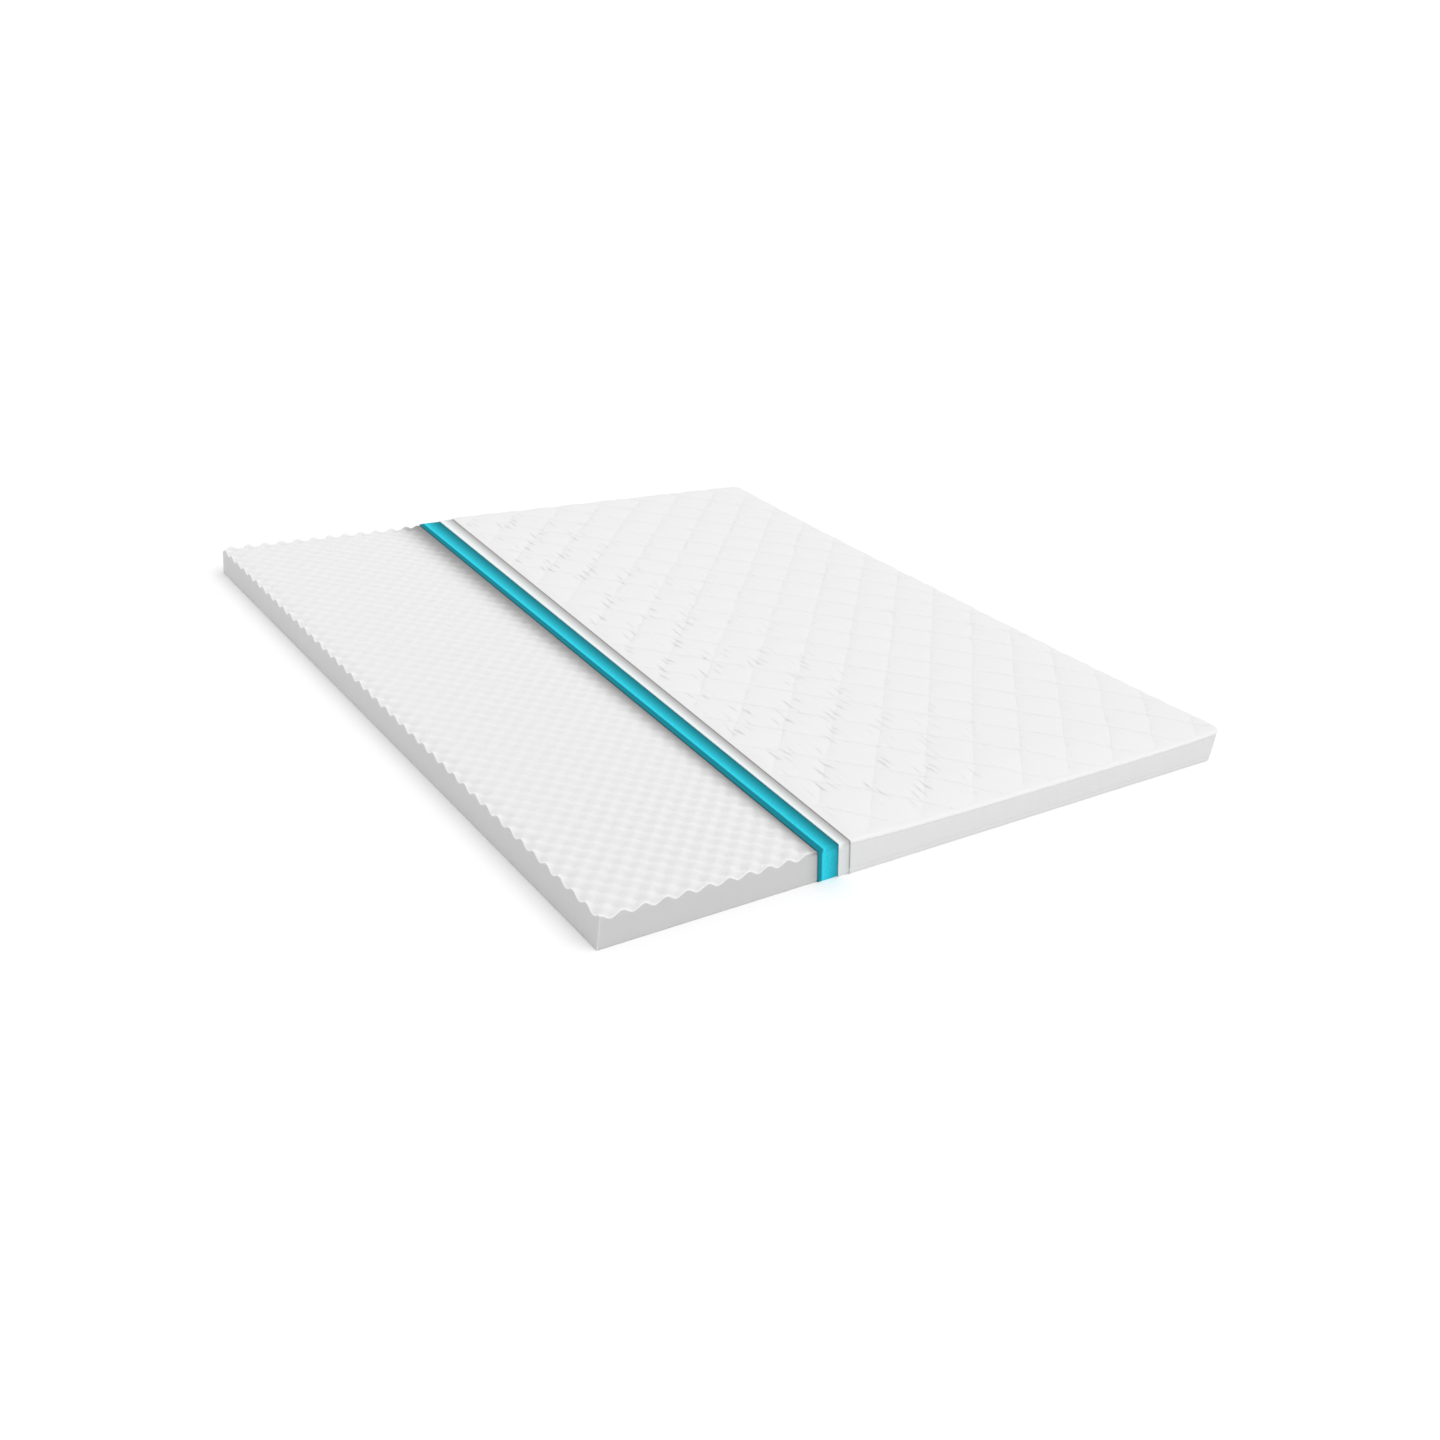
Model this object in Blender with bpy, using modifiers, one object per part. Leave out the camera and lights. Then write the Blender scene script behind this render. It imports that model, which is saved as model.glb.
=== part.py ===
"""Mattress topper, laid bare in steps from the covered side to the foam.

Metres, +Z up. The origin is the centre of the underside. X runs across the
topper from the bare foam to the covered side, Y along it from front to back.

Six pieces lie one in the other: an egg-crate foam core, a teal sleeve, a white
sleeve and a cover of three sewn panels. Each layer stops at its own slanted
cut, so a strip of every layer shows. The sleeves and the cover are open there.
"""

import math

import bmesh
import bpy

# Outside of the whole topper.
WIDTH = 1.80
LENGTH = 2.00
CORNER_RADIUS = 0.030
CORNER_STEPS = 4

# Thickness of each cloth, and the gaps that keep neighbours apart.
TEAL_THICK = 0.0022
WHITE_THICK = 0.0017
BAND_THICK = 0.0020
BOTTOM_THICK = 0.0018
WALL_GAP = 0.0005
FLOOR_GAP = 0.0003

# Foam. The sleeves lie on its peaks, so the bumps may run on under them.
FOAM_PEAK = 0.0752
BUMP_RISE = 0.0057
BUMPS_ALONG = 41.5
BUMP_OVERLAP = 0.012

# Rims: how tightly a sleeve turns over its edge, and the panel's rounded one.
SLEEVE_ROUND = 0.0025
RIM_THICK = 0.0045
RIM_ROUND = 0.0040
ROUND_STEPS = 2

# Quilting: stitch lines at 45 degrees, spaced along X and along Y, with one
# crossing at the centre. The puffs die away towards the rim.
QUILT_SPACING = 0.153
QUILT_CENTRE = (0.0915, -0.0255)
STITCH_THICK = 0.0028
PUFF_RISE = 0.0048
PUFF_FULLNESS = 0.6
QUILT_FADE = 0.030

# X where each layer's cut crosses the top, at the front and at the back, and
# how far a cut leans to the left for each metre of height.
CUTS = {
    "teal": (-0.3965, -0.3040),
    "white": (-0.3450, -0.2375),
    "cover": (-0.3130, -0.1910),
}
CUT_LEAN = 0.17
CUT_LEVEL = 0.080

# An underside climbs over an outer cloth in a short run just before its cut.
CLIMB_START = 0.010
CLIMB_END = 0.001

# The cover draws its front and right rims down between the corners. Lines
# across the faces that sink, as distances from the rim.
FRONT_DROP = 0.0085
RIGHT_DROP = 0.0090
DROP_REACH = 0.120
RIM_LINES = (0.03, 0.06, 0.09, 0.12)
ACROSS_LINES = (0.24, 0.40, 0.62, 0.84, 1.00, 1.10, 1.16)
ALONG_LINES = (0.22, 0.38, 0.65)

# Below the first height a wall follows the floor, above the second the top.
WALL_LOW = 0.020
WALL_HIGH = 0.065

HALF_WIDTH = WIDTH / 2
HALF_LENGTH = LENGTH / 2

# How far each piece's outside lies inside the topper's outside.
WHITE_INSET = BAND_THICK + WALL_GAP
TEAL_INSET = WHITE_INSET + WHITE_THICK + WALL_GAP
FOAM_INSET = TEAL_INSET + TEAL_THICK + WALL_GAP

# Tops of the layers, each lying on the one below.
TEAL_TOP = FOAM_PEAK + WALL_GAP + TEAL_THICK
WHITE_TOP = TEAL_TOP + WALL_GAP + WHITE_THICK
PANEL_BASE = WHITE_TOP + WALL_GAP
RIM_LEVEL = PANEL_BASE + RIM_THICK

# Height that each outer cloth takes up under what it wraps.
CLOTH_UNDER = {
    "teal": TEAL_THICK + FLOOR_GAP,
    "white": WHITE_THICK + FLOOR_GAP,
    "cover": BOTTOM_THICK + FLOOR_GAP,
}

BUMP_PITCH = (LENGTH - 2 * FOAM_INSET) / BUMPS_ALONG
X_AXIS = (1.0, 0.0, 0.0)
Y_AXIS = (0.0, 1.0, 0.0)
TINY = 1e-5


def clamp(t):
    return min(max(t, 0.0), 1.0)


def smooth(t):
    """Rise from 0 to 1 with level ends."""
    t = clamp(t)
    return t * t * (3.0 - 2.0 * t)


def plateau(t):
    """0 at both ends of a side and 1 over most of it."""
    return 1.0 - (2.0 * clamp(t) - 1.0) ** 4


# Cuts, climbs and drops


def cut_slope(layer):
    front, back = CUTS[layer]
    return (back - front) / LENGTH


def cut_x(layer, y, z):
    """X of a layer's cut at a place along the topper and a height."""
    middle = sum(CUTS[layer]) / 2
    return middle + cut_slope(layer) * y + CUT_LEAN * (CUT_LEVEL - z)


def climb(x, y, outer_layers):
    """How far an underside has climbed over the cloths that lie beneath it."""
    height = 0.0
    for layer in outer_layers:
        past_start = x - cut_x(layer, y, 0.0) + CLIMB_START
        height += CLOTH_UNDER[layer] * clamp(past_start / (CLIMB_START - CLIMB_END))
    return height


def rim_drop(x, y):
    """How far the top sinks near the front rim and the right rim."""
    start = CUTS["cover"][0]
    along_front = plateau((x - start) / (HALF_WIDTH - start))
    along_right = plateau((y + HALF_LENGTH) / LENGTH)
    near_front = 1.0 - smooth((y + HALF_LENGTH) / DROP_REACH)
    near_right = 1.0 - smooth((HALF_WIDTH - x) / DROP_REACH)
    return FRONT_DROP * along_front * near_front + RIGHT_DROP * along_right * near_right


def settle(bm, outer_layers=()):
    """Sink the top by the rim drop and lift the underside by its climb."""
    for vert in bm.verts:
        x, y, z = vert.co
        high = clamp((z - WALL_LOW) / (WALL_HIGH - WALL_LOW))
        vert.co.z += climb(x, y, outer_layers) * (1.0 - high) - rim_drop(x, y) * high


# Which faces and edges a step works on


def looks_up(face):
    return face.normal.z > 0.95


def looks_down(face):
    return face.normal.z < -0.95


def looks_at_cut(face):
    return face.normal.x < -0.90


def is_wall(face):
    return not looks_up(face) and not looks_down(face) and not looks_at_cut(face)


def is_bare_top(face):
    x, y, _ = face.calc_center_median()
    return looks_up(face) and past_bumps(x, y) < 0.0


def is_covered_top(face):
    return looks_up(face) and not is_bare_top(face)


def is_right_corner(edge):
    start, end = edge.verts
    upright = abs(start.co.z - end.co.z) > TINY
    return upright and min(start.co.x, end.co.x) > 0.0


def is_top_rim(edge):
    """An edge between the top and an outer wall."""
    top = any(looks_up(face) for face in edge.link_faces)
    return top and any(is_wall(face) for face in edge.link_faces)


def pick(bm, *tests):
    """The faces that pass any of the tests."""
    bm.normal_update()
    return [face for face in bm.faces if any(test(face) for test in tests)]


# Making and cutting blocks


def block(layer, inset, bottom, top):
    """A box whose left end is a layer's slanted cut, or square with no layer."""
    bm = bmesh.new()
    bmesh.ops.create_cube(bm, size=2.0)
    for vert in bm.verts:
        y = math.copysign(HALF_LENGTH - inset, vert.co.y)
        z = top if vert.co.z > 0.0 else bottom
        if vert.co.x > 0.0:
            x = HALF_WIDTH - inset
        elif layer:
            x = cut_x(layer, y, z)
        else:
            x = -HALF_WIDTH
        vert.co = (x, y, z)
    corners = [edge for edge in bm.edges if is_right_corner(edge)]
    round_off(bm, corners, CORNER_RADIUS - inset, CORNER_STEPS)
    return bm


def round_off(bm, edges, radius, steps):
    bmesh.ops.bevel(
        bm, geom=edges, offset=radius, offset_type="OFFSET", segments=steps,
        profile=0.5, affect="EDGES", clamp_overlap=True)


def round_top_rim(bm, radius):
    bm.normal_update()
    round_off(bm, [edge for edge in bm.edges if is_top_rim(edge)], radius, ROUND_STEPS)


def draw_line(bm, point, across, faces):
    """Draw a straight line of edges over some faces, square to a direction."""
    geometry = set(faces)
    for face in faces:
        geometry.update(face.edges)
        geometry.update(face.verts)
    bmesh.ops.bisect_plane(
        bm, geom=list(geometry), dist=TINY, plane_co=point, plane_no=across)


def draw_drop_lines(bm, *tests):
    """Lines over the faces that sink, close together near the rim."""
    for reach in RIM_LINES + ALONG_LINES:
        for side in (-1.0, 1.0):
            point = (0.0, side * (HALF_LENGTH - reach), 0.0)
            draw_line(bm, point, Y_AXIS, pick(bm, *tests))
    for reach in RIM_LINES + ACROSS_LINES:
        draw_line(bm, (HALF_WIDTH - reach, 0.0, 0.0), X_AXIS, pick(bm, *tests))


def draw_climb_lines(bm, outer_layers):
    """Lines under the piece where it starts and ends each climb."""
    for layer in outer_layers:
        for before in (CLIMB_START, CLIMB_END):
            point = (cut_x(layer, 0.0, 0.0) - before, 0.0, 0.0)
            draw_line(bm, point, (1.0, -cut_slope(layer), 0.0), pick(bm, looks_down))


def cloth(name, colour, roughness, sheen=0.0):
    """One Principled material in the piece's own colour."""
    material = bpy.data.materials.new(name)
    material.use_nodes = True
    shader = material.node_tree.nodes["Principled BSDF"]
    shader.inputs["Base Color"].default_value = (*colour, 1.0)
    shader.inputs["Roughness"].default_value = roughness
    shader.inputs["Metallic"].default_value = 0.0
    shader.inputs["Sheen Weight"].default_value = sheen
    material.diffuse_color = (*colour, 1.0)
    return material


def place(name, bm, material, topper):
    """Make the piece's object out of its mesh, under the topper's empty."""
    bmesh.ops.recalc_face_normals(bm, faces=bm.faces)
    mesh = bpy.data.meshes.new(name)
    bm.to_mesh(mesh)
    bm.free()
    mesh.materials.append(material)
    piece = bpy.data.objects.new(name, mesh)
    topper.users_collection[0].objects.link(piece)
    piece.parent = topper
    return piece


def give_wall(piece, thickness):
    """Thicken an open surface inwards."""
    wall = piece.modifiers.new("Wall", "SOLIDIFY")
    wall.thickness = thickness
    wall.offset = -1.0
    wall.use_even_offset = True


# Foam core


def past_bumps(x, y):
    """How far a place lies past the line, under the sleeve, where bumps end."""
    return x - cut_x("teal", y, FOAM_PEAK) - BUMP_OVERLAP


def bump_height(x, y):
    """Egg-crate wave: peaks and hollows take turns along X and along Y."""
    across = math.cos(math.tau * (x + HALF_WIDTH) / BUMP_PITCH)
    along = math.cos(math.tau * (y + HALF_LENGTH - FOAM_INSET) / BUMP_PITCH)
    return FOAM_PEAK - BUMP_RISE + BUMP_RISE * across * along


def raise_bumps(bm):
    """Lines through every peak and hollow, a point at every saddle, the wave."""
    step = BUMP_PITCH / 2
    bare_width = HALF_WIDTH + CUTS["teal"][1] + BUMP_OVERLAP
    for index in range(1, int(bare_width / step) + 1):
        draw_line(bm, (index * step - HALF_WIDTH, 0.0, 0.0), X_AXIS, pick(bm, is_bare_top))
    for index in range(1, int(2 * BUMPS_ALONG)):
        y = index * step - HALF_LENGTH + FOAM_INSET
        draw_line(bm, (0.0, y, 0.0), Y_AXIS, pick(bm, is_bare_top))
    bmesh.ops.poke(bm, faces=pick(bm, is_bare_top), center_mode="MEAN")
    for vert in bm.verts:
        x, y, z = vert.co
        if z > FOAM_PEAK - TINY and past_bumps(x, y) < -TINY:
            vert.co.z = bump_height(x, y)


def make_foam_core(topper):
    """Foam slab, egg-crate on top where it is bare and plain where covered."""
    outer_layers = ("teal", "white", "cover")
    bm = block(None, FOAM_INSET, 0.0, FOAM_PEAK)
    draw_climb_lines(bm, outer_layers)
    end_of_bumps = (cut_x("teal", 0.0, FOAM_PEAK) + BUMP_OVERLAP, 0.0, 0.0)
    draw_line(bm, end_of_bumps, (1.0, -cut_slope("teal"), 0.0), pick(bm, looks_up))
    draw_drop_lines(bm, is_covered_top)
    raise_bumps(bm)
    settle(bm, outer_layers)
    foam = cloth("soft_white_foam", (0.86, 0.86, 0.86), 0.95)
    place("foam_core", bm, foam, topper)


# Sleeves


def make_sleeve(layer, inset, top, thickness, outer_layers, material, topper):
    """Bag of cloth round the foam, open at its cut."""
    bm = block(layer, inset, 0.0, top)
    round_top_rim(bm, SLEEVE_ROUND)
    bmesh.ops.delete(bm, geom=pick(bm, looks_at_cut), context="FACES")
    draw_climb_lines(bm, outer_layers)
    draw_drop_lines(bm, looks_up, is_wall)
    settle(bm, outer_layers)
    give_wall(place(layer + "_sleeve", bm, material, topper), thickness)


def make_teal_sleeve(topper):
    felt = cloth("teal_felt", (0.02, 0.60, 0.72), 0.80, sheen=0.3)
    make_sleeve("teal", TEAL_INSET, TEAL_TOP, TEAL_THICK, ("white", "cover"), felt, topper)


def make_white_sleeve(topper):
    felt = cloth("white_non_woven", (0.82, 0.82, 0.83), 0.90)
    make_sleeve("white", WHITE_INSET, WHITE_TOP, WHITE_THICK, ("cover",), felt, topper)


# Cover


def puff(x, y):
    """Swell of the filling: 0 on a stitch line, 1 in the middle of a diamond."""
    from_x = x - QUILT_CENTRE[0]
    from_y = y - QUILT_CENTRE[1]
    falling = math.sin(math.pi * (from_x + from_y) / QUILT_SPACING)
    rising = math.sin(math.pi * (from_x - from_y) / QUILT_SPACING)
    return abs(falling * rising) ** PUFF_FULLNESS


def quilt_rise(x, y):
    """Rise or dip of the quilted face from the level of its rim."""
    from_rim = min(HALF_WIDTH - x, HALF_LENGTH - abs(y)) - RIM_ROUND
    level = STITCH_THICK + PUFF_RISE * puff(x, y)
    return (level - RIM_THICK) * smooth(from_rim / QUILT_FADE)


def draw_quilting(bm):
    """Lines along the stitches, through the middle of each diamond and between."""
    centre_x, centre_y = QUILT_CENTRE
    step = QUILT_SPACING / 4
    reach = int((WIDTH + LENGTH) / step)
    for index in range(-reach, reach + 1):
        x = centre_x + index * step
        y = centre_y + index * step
        if abs(x) < HALF_WIDTH:
            draw_line(bm, (x, 0.0, 0.0), X_AXIS, pick(bm, looks_up))
        if abs(y) < HALF_LENGTH:
            draw_line(bm, (0.0, y, 0.0), Y_AXIS, pick(bm, looks_up))
        if index % 2 == 0:
            for lean in (-1.0, 1.0):
                draw_line(bm, (x, centre_y, 0.0), (1.0, lean, 0.0), pick(bm, looks_up))


def make_cover_top_panel(topper):
    """Filled panel with a rounded rim and diamond quilting."""
    bm = block("cover", 0.0, PANEL_BASE, RIM_LEVEL)
    round_top_rim(bm, RIM_ROUND)
    draw_drop_lines(bm, looks_down, is_wall, looks_at_cut)
    draw_quilting(bm)
    for vert in bm.verts:
        x, y, z = vert.co
        if z > RIM_LEVEL - TINY:
            vert.co.z += quilt_rise(x, y)
    settle(bm)
    quilted = cloth("quilted_white_jersey", (0.88, 0.88, 0.88), 0.85, sheen=0.2)
    place("cover_top_panel", bm, quilted, topper)


def make_cover_side_band(topper):
    """Boxing strip round the front, the right side and the back."""
    bm = block("cover", 0.0, CLOTH_UNDER["cover"], PANEL_BASE - WALL_GAP)
    bmesh.ops.delete(
        bm, geom=pick(bm, looks_up, looks_down, looks_at_cut), context="FACES")
    draw_drop_lines(bm, is_wall)
    settle(bm)
    jersey = cloth("plain_white_jersey", (0.80, 0.80, 0.80), 0.85, sheen=0.2)
    give_wall(place("cover_side_band", bm, jersey, topper), BAND_THICK)


def make_cover_bottom_panel(topper):
    """Flat underside of the cover."""
    bm = block("cover", 0.0, 0.0, BOTTOM_THICK)
    backing = cloth("white_backing_cloth", (0.74, 0.74, 0.74), 0.90)
    place("cover_bottom_panel", bm, backing, topper)


def main():
    for old in list(bpy.data.objects):
        bpy.data.objects.remove(old, do_unlink=True)
    collection = bpy.data.collections.new("mattress_topper")
    bpy.context.scene.collection.children.link(collection)
    topper = bpy.data.objects.new("mattress_topper", None)
    collection.objects.link(topper)
    make_foam_core(topper)
    make_teal_sleeve(topper)
    make_white_sleeve(topper)
    make_cover_top_panel(topper)
    make_cover_side_band(topper)
    make_cover_bottom_panel(topper)


main()
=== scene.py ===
"""Mattress topper laid bare in steps: foam, two sleeves and a quilted cover, with its stage.

Metres, +Z up, in the part's own frame: X runs across the topper from the bare
foam to the covered side, Y along it from front to back, and the floor is z = 0.
Each piece starts as flat patches and walls over one plan, and is then shaped as
a whole, so that patches that share an edge keep sharing it.
"""

import math

import bpy
import numpy as np
from bpy.props import FloatProperty, FloatVectorProperty, PointerProperty, StringProperty
from mathutils import Matrix, Vector


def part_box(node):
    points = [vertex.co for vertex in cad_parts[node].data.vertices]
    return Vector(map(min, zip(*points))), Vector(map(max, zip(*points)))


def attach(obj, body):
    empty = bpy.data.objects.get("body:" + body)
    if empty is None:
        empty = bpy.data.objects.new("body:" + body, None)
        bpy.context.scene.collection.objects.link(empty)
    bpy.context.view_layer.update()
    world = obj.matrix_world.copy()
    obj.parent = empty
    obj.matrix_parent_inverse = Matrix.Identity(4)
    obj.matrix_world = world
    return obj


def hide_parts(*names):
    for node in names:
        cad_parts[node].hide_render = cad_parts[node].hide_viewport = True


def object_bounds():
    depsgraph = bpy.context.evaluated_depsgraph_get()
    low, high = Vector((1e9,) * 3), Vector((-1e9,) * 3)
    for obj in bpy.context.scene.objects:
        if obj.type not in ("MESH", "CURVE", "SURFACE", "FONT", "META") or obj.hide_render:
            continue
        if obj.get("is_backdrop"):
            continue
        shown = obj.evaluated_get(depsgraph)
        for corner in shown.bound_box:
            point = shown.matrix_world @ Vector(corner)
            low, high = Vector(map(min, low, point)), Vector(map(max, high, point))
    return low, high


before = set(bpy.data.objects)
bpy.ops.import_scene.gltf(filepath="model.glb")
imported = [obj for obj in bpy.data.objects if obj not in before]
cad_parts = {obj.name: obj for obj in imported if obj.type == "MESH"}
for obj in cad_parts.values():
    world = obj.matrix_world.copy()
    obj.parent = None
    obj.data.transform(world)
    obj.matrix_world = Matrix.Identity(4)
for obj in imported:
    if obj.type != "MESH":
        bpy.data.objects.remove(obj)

bl_info = {
    "name": "Mattress Topper",
    "version": (1, 0, 0),
    "blender": (4, 5, 0),
    "location": "3D View > Sidebar > Topper",
    "description": "Foam topper with two sleeves and a quilted cover, opened in steps",
    "category": "Add Mesh",
}

MM = 0.001
HALF_WIDTH, HALF_LENGTH = (float(side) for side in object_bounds()[1][:2])
FOAM_PEAK = float(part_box("foam_core")[1].z)
TEAL_TOP = float(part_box("teal_sleeve")[1].z)
WHITE_TOP = float(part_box("white_sleeve")[1].z)
BOTTOM_TOP = float(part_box("cover_bottom_panel")[1].z)
BAND_FOOT = float(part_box("cover_side_band")[0].z)
FOAM_INSET = HALF_LENGTH - float(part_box("foam_core")[1].y)
TEAL_INSET = HALF_LENGTH - float(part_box("teal_sleeve")[1].y)
WHITE_INSET = HALF_LENGTH - float(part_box("white_sleeve")[1].y)
CUT_HEIGHT = 80 * MM          # the settings give the X of each cut at this height
CLIMB = (-10 * MM, -1 * MM)   # start and end of an underside's climb, from the cloth's cut
WELD = 2e-3 * MM              # points on the same multiple of this are one
SHARP = math.radians(38)      # an edge that turns further stays crisp


# Settings that a user would change


def size(name, description, default, low=0.0):
    """A length in metres."""
    return FloatProperty(name=name, description=description, default=default, min=low,
                         max=100.0, precision=4, unit="LENGTH")


def number(name, description, default, low=0.0, high=10000.0):
    """A number without a unit."""
    return FloatProperty(name=name, description=description, default=default, min=low, max=high)


def colour(name, description, default):
    """An sRGB colour as a hex value."""
    return StringProperty(name=name, description=description, default=default, maxlen=6)


class LayerSettings(bpy.types.PropertyGroup):
    """Where the layers end, and how the whole topper settles."""

    corner: size("Corner radius", "Round of the two covered corners, in plan", 0.030)
    front_drop: size("Front drop", "How far the front rim sinks between its corners", 0.0085)
    right_drop: size("Right drop", "How far the right rim sinks between its corners", 0.0090)
    drop_reach: size("Drop reach", "How far in from a rim the sinking starts", 0.120)
    lean: number("Cut lean", "How far a cut leans left over each unit of height", 0.17)
    teal_front: size("Teal cut, front", "X of the teal sleeve's cut at the front", -0.3965, -1.0)
    teal_back: size("Teal cut, back", "X of the teal sleeve's cut at the back", -0.3040, -1.0)
    white_front: size("White cut, front", "X of the white sleeve's cut at the front", -0.3450, -1.0)
    white_back: size("White cut, back", "X of the white sleeve's cut at the back", -0.2375, -1.0)
    cover_front: size("Cover cut, front", "X of the cover's cut at the front", -0.3160, -1.0)
    cover_back: size("Cover cut, back", "X of the cover's cut at the back", -0.1925, -1.0)


class FoamSettings(bpy.types.PropertyGroup):
    """The egg-crate foam core."""

    bumps: number("Bumps along", "Periods of the egg-crate wave along the topper", 41.5, 1)
    rise: size("Bump rise", "Height of a peak over the middle of the wave, at the cut sides", 0.0057)
    calm: number("Calm", "Share of the bump rise that is left away from the cut sides", 0.38)
    pressed: size("Pressed", "How far the sleeve's edge presses the foam in", 0.0027)
    shade_reach: size("Shade reach", "How far the sleeve's edge shades the foam, at half length", 0.0385)
    shade_gain: number("Shade gain", "Growth of the shade's reach from front to back", 0.0205)
    pore: size("Pore", "Width of a foam cell as drawn", 0.0026)
    glow: size("Glow", "How far light spreads inside the foam", 0.007)
    top_hex: colour("Top colour", "Skin of the moulded bumps", "E3E3E3")
    # Cut sides: a little duller than the skin, and darker still as painted shade of the upright sides.
    side_and_shade_hex: colour("Side colour", "Cut sides", "C8C8C8")
    shade_hex: colour("Shade colour", "Foam in the lee of the sleeve", "848383")


class SleeveSettings(bpy.types.PropertyGroup):
    """The teal and the white sleeve."""

    teal_thick: size("Teal thickness", "Needled felt", 0.0022)
    white_thick: size("White thickness", "Bonded non-woven", 0.0017)
    fold: size("Fold", "Radius where a sleeve turns over the foam's edge", 0.0025)
    hem_width: size("Hem width", "Turned edge of the teal sleeve", 0.0125)
    hem_droop: size("Hem droop", "How far the hem bends down to the bumps", 0.0022)
    fibre: size("Fibre", "Clump of felt fibres as drawn", 0.0030)
    bond: size("Bond", "Spacing of the pressed dots as drawn", 0.0045)
    # Painted shade on the hem's bent edge, darker than the felt itself; the bend also shades it for
    # real.
    hem_shade_hex: colour("Hem colour", "Turned edge of the felt", "1A8595")
    teal_hex: colour("Teal colour", "Felt beside its hem", "38E6FD")
    # Painted shadow beside the white sleeve, and the deep teal in the clumps of fibres.
    teal_shade_and_clump_hex: colour("Deep teal colour", "Felt beside the white sleeve", "12707C")
    white_hex: colour("White colour", "Non-woven at its edge", "EBF0F1")
    # Painted shadow that the cover's edge casts on the non-woven.
    cover_shadow_hex: colour("Grey colour", "Non-woven beside the cover", "AAA7A6")


class CoverSettings(bpy.types.PropertyGroup):
    """The quilted top, the side band and the underside of the cover."""

    diamond: size("Diamond", "Width of a quilted diamond from corner to corner", 0.153)
    quilt_x: size("Quilt centre X", "One crossing of the stitch lines", 0.0915, -1.0)
    quilt_y: size("Quilt centre Y", "One crossing of the stitch lines", -0.0255, -1.0)
    cut_level: size("Cut level", "Height of the face at the cut, where no stitch puffs it up", 0.0830)
    stitch_level: size("Stitch level", "Height of the face on a stitch line", 0.0834)
    rim_level: size("Rim level", "Height of the face where the rim starts to roll", 0.0850)
    puff: size("Puff", "Swell of a diamond over its stitch lines", 0.0050)
    fullness: number("Fullness", "Power of the swell: a low one gives flat tops and narrow grooves", 0.5)
    pucker: size("Pucker", "Height of the gathers beside a stitch line", 0.0018)
    wander: size("Wander", "How far the stitch lines stray from straight", 0.0030)
    rim_wave: size("Rim wave", "Rise and fall of the rolled rim between its gathers", 0.0018)
    under: size("Under level", "Height of the quilted panel's underside", 0.0806)
    roll_width: size("Roll width", "How far in from the side the rim rolls", 0.0080)
    roll_out: size("Roll out", "How far the rolled rim stands proud of the band", 0.0015)
    roll_foot: size("Roll foot", "Height of the seam under the rolled rim", 0.0748)
    band_thick: size("Band thickness", "Plain jersey and its lining", 0.0020)
    seam: size("Lower seam", "Height of the seam near the floor", 0.0110)
    crease: size("Crease", "Depth of the upright creases in the band", 0.0018)
    wrinkle: size("Wrinkle", "Depth of the fine wrinkles beside a stitch line", 0.0022)
    wrinkle_width: size("Wrinkle width", "Width of a fine wrinkle", 0.0090)
    wrinkle_length: size("Wrinkle length", "Length of a fine wrinkle", 0.085)
    wrinkle_gap: size("Wrinkle gap", "From one fine wrinkle to the one beside it", 0.028)
    wrinkle_step: size("Wrinkle step", "From one fine wrinkle to the one ahead of it", 0.095)
    pitch: size("Stitch pitch", "From one stitch to the next", 0.0065)
    thread: size("Thread", "Thickness of the thread", 0.0009)
    wale: size("Wale", "Width of a column of loops as drawn", 0.0030)
    top_hex: colour("Top colour", "Quilted jersey", "EAEAEA")
    # Painted shade deep in a fine wrinkle.
    wrinkle_shade_hex: colour("Wrinkle colour", "Quilted jersey deep in a fine wrinkle", "DBDBDB")
    band_hex: colour("Band colour", "Plain jersey", "DBDBDB")
    bottom_hex: colour("Underside colour", "Backing cloth", "E4E4E4")
    thread_hex: colour("Thread colour", "Sewing thread", "EAEAEA")


class StageSettings(bpy.types.PropertyGroup):
    """Floor, light and camera."""

    floor_size: size("Floor size", "Width of the pale floor", 80.0)
    floor_hex: colour("Floor colour", "Matt white floor", "FDFDFD")
    sky: number("Sky", "Strength of the light from above", 0.76)
    haze: number("Haze", "Strength of the light from near the horizon", 1.05)
    key: number("Key", "Strength of the broad light overhead", 1.05)
    key_from: FloatVectorProperty(
        name="Key from", description="Direction that the broad light comes from", size=3,
        default=(0.22, -0.42, 1.0), subtype="XYZ")
    key_angle: number("Key angle", "Breadth of the broad light, in degrees", 50.0, 0, 180)
    place: FloatVectorProperty(
        name="Camera place", description="Where the camera stands", size=3,
        default=(-2.1044, -2.7180, 1.5113), subtype="XYZ", unit="LENGTH")
    azimuth: number("Azimuth", "Camera bearing from +Y, in degrees", -37.369, -180)
    elevation: number("Elevation", "How far the camera looks down, in degrees", 25.822, -90)
    roll: number("Roll", "Turn of the camera about its view, in degrees", 6.383, -180)
    focal: number("Focal length", "In pixels of the square picture", 1420.4)
    centre_x: number("Centre X", "Optical centre, in pixels from the left", 674.3)
    centre_y: number("Centre Y", "Optical centre, in pixels from the top", 710.2)


SETTINGS = {
    "topper_layers": LayerSettings,
    "topper_foam": FoamSettings,
    "topper_sleeves": SleeveSettings,
    "topper_cover": CoverSettings,
    "topper_stage": StageSettings,
}


# Shared forms


def smooth(t):
    """Cubic step: 0 below 0, 1 above 1, level at both ends."""
    t = np.clip(t, 0.0, 1.0)
    return t * t * (3.0 - 2.0 * t)


def plateau(t):
    """One less the fourth power of the distance from the middle: 0 at both ends."""
    return 1.0 - (2.0 * np.clip(t, 0.0, 1.0) - 1.0) ** 4


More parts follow.
